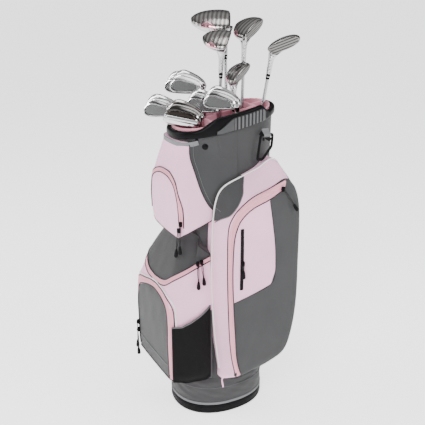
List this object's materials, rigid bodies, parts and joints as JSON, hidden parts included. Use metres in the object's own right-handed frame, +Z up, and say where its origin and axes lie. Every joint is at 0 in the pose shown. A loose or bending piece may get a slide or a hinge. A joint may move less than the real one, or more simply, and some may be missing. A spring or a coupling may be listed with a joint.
{
  "type": "golf club set",
  "caption": "Upright cart bag in pink and grey with pockets, divided mouth and lift-out golf clubs standing heads up.",
  "frame": {"origin": "centre of the base's flat underside", "axes": "+Z up the bag, -Y towards the ball pocket, +X towards the mesh pocket and its apparel pocket"},
  "size_m": [0.3882, 0.4307, 1.1227],
  "materials": {
    "pink_fabric": "light pink coated polyester, fine weave",
    "grey_fabric": "mid grey coated polyester, fine weave",
    "lining_fabric": "brushed pink divider padding",
    "black_mesh": "black knitted mesh",
    "black_plastic": "satin black moulding",
    "grey_rubber": "matt grey moulded grip",
    "grip_rubber": "matt black grip",
    "chrome": "bright polished with satin cavity",
    "gunmetal": "dark metallic with pink inserts",
    "shaft_steel": "bright polished"
  },
  "bodies": {
    "bag": {"base_boot": "black_plastic", "base_cuff": "grey_fabric", "barrel_shell": "grey_fabric", "stay_rod_left": "shaft_steel", "stay_rod_right": "shaft_steel", "collar_ring": "black_plastic", "collar_grip": "grey_rubber", "divider_grid": "lining_fabric", "upper_pocket": "pink_fabric", "cooler_pocket": "pink_fabric", "ball_pocket": "grey_fabric", "mesh_pocket": "black_mesh", "apparel_pocket_right": "grey_fabric", "apparel_pocket_left": "grey_fabric", "strap_ring_upper": "black_plastic", "strap_ring_lower": "black_plastic", "rear_handle": "black_plastic"},
    "towel_ring": {"towel_ring": "black_plastic"},
    "shoulder_strap": {"shoulder_strap": "grey_fabric"},
    "upper_zip_pull": {"upper_zip_pull": "black_plastic"},
    "cooler_zip_pull": {"cooler_zip_pull": "black_plastic"},
    "ball_zip_pull": {"ball_zip_pull": "black_plastic"},
    "apparel_zip_pull": {"apparel_zip_pull": "black_plastic"},
    "valuables_zip_pull": {"valuables_zip_pull": "black_plastic"},
    "driver": {"driver_head": "gunmetal", "driver_shaft": "shaft_steel", "driver_grip": "grip_rubber"},
    "fairway_3": {"fairway_3_head": "gunmetal", "fairway_3_shaft": "shaft_steel", "fairway_3_grip": "grip_rubber"},
    "fairway_5": {"fairway_5_head": "gunmetal", "fairway_5_shaft": "shaft_steel", "fairway_5_grip": "grip_rubber"},
    "hybrid_5": {"hybrid_5_head": "gunmetal", "hybrid_5_shaft": "shaft_steel", "hybrid_5_grip": "grip_rubber"},
    "hybrid_6": {"hybrid_6_head": "gunmetal", "hybrid_6_shaft": "shaft_steel", "hybrid_6_grip": "grip_rubber"},
    "iron_6": {"iron_6_head": "chrome", "iron_6_shaft": "shaft_steel", "iron_6_grip": "grip_rubber"},
    "iron_7": {"iron_7_head": "chrome", "iron_7_shaft": "shaft_steel", "iron_7_grip": "grip_rubber"},
    "iron_8": {"iron_8_head": "chrome", "iron_8_shaft": "shaft_steel", "iron_8_grip": "grip_rubber"},
    "iron_9": {"iron_9_head": "chrome", "iron_9_shaft": "shaft_steel", "iron_9_grip": "grip_rubber"},
    "pitching_wedge": {"pitching_wedge_head": "chrome", "pitching_wedge_shaft": "shaft_steel", "pitching_wedge_grip": "grip_rubber"},
    "sand_wedge": {"sand_wedge_head": "chrome", "sand_wedge_shaft": "shaft_steel", "sand_wedge_grip": "grip_rubber"},
    "putter": {"putter_head": "chrome", "putter_shaft": "shaft_steel", "putter_grip": "grip_rubber"}
  },
  "joints": [
    {"name": "driver_lift", "type": "slide", "parent": "bag", "child": "driver", "axis": [-0.1594, 0.0559, 0.9856], "range_m": [0, 0.88]},
    {"name": "fairway_3_lift", "type": "slide", "parent": "bag", "child": "fairway_3", "axis": [0, 0.0271, 0.9996], "range_m": [0, 0.88]},
    {"name": "fairway_5_lift", "type": "slide", "parent": "bag", "child": "fairway_5", "axis": [-0.02, 0.0425, 0.9989], "range_m": [0, 0.88]},
    {"name": "hybrid_5_lift", "type": "slide", "parent": "bag", "child": "hybrid_5", "axis": [0.0699, 0.1422, 0.9874], "range_m": [0, 0.88]},
    {"name": "hybrid_6_lift", "type": "slide", "parent": "bag", "child": "hybrid_6", "axis": [-0.013, -0.0389, 0.9992], "range_m": [0, 0.88]},
    {"name": "iron_6_lift", "type": "slide", "parent": "bag", "child": "iron_6", "axis": [0.0517, -0.0893, 0.9947], "range_m": [0, 0.88]},
    {"name": "iron_7_lift", "type": "slide", "parent": "bag", "child": "iron_7", "axis": [0.0118, -0.0425, 0.999], "range_m": [0, 0.88]},
    {"name": "iron_8_lift", "type": "slide", "parent": "bag", "child": "iron_8", "axis": [-0.0153, -0.0342, 0.9993], "range_m": [0, 0.88]},
    {"name": "iron_9_lift", "type": "slide", "parent": "bag", "child": "iron_9", "axis": [-0.0047, -0.0106, 0.9999], "range_m": [0, 0.88]},
    {"name": "pitching_wedge_lift", "type": "slide", "parent": "bag", "child": "pitching_wedge", "axis": [-0.0153, -0.0788, 0.9968], "range_m": [0, 0.88]},
    {"name": "sand_wedge_lift", "type": "slide", "parent": "bag", "child": "sand_wedge", "axis": [-0.0412, -0.0612, 0.9973], "range_m": [0, 0.88]},
    {"name": "putter_lift", "type": "slide", "parent": "bag", "child": "putter", "axis": [-0.0435, -0.0647, 0.997], "range_m": [0, 0.88]},
    {"name": "towel_ring_swing", "type": "hinge", "parent": "bag", "child": "towel_ring", "pos_m": [0.117, 0.09, 0.8235], "axis": [0, 1, 0], "range_deg": [-75, 0]},
    {"name": "shoulder_strap_swing", "type": "hinge", "parent": "bag", "child": "shoulder_strap", "pos_m": [0, 0.168, 0.48], "axis": [0, 0, 1], "range_deg": [-35, 35]},
    {"name": "upper_zip_slide", "type": "slide", "parent": "bag", "child": "upper_zip_pull", "axis": [0, 0, 1], "range_m": [0, 0.09]},
    {"name": "cooler_zip_slide", "type": "slide", "parent": "bag", "child": "cooler_zip_pull", "axis": [0, -0.9511, -0.309], "range_m": [0, 0.03]},
    {"name": "ball_zip_slide", "type": "slide", "parent": "bag", "child": "ball_zip_pull", "axis": [0, 0, 1], "range_m": [0, 0.09]},
    {"name": "apparel_zip_slide", "type": "slide", "parent": "bag", "child": "apparel_zip_pull", "axis": [0, -0.9207, -0.3903], "range_m": [0, 0.05]},
    {"name": "valuables_zip_slide", "type": "slide", "parent": "bag", "child": "valuables_zip_pull", "axis": [0, 0, 1], "range_m": [-0.06, 0.08]}
  ]
}
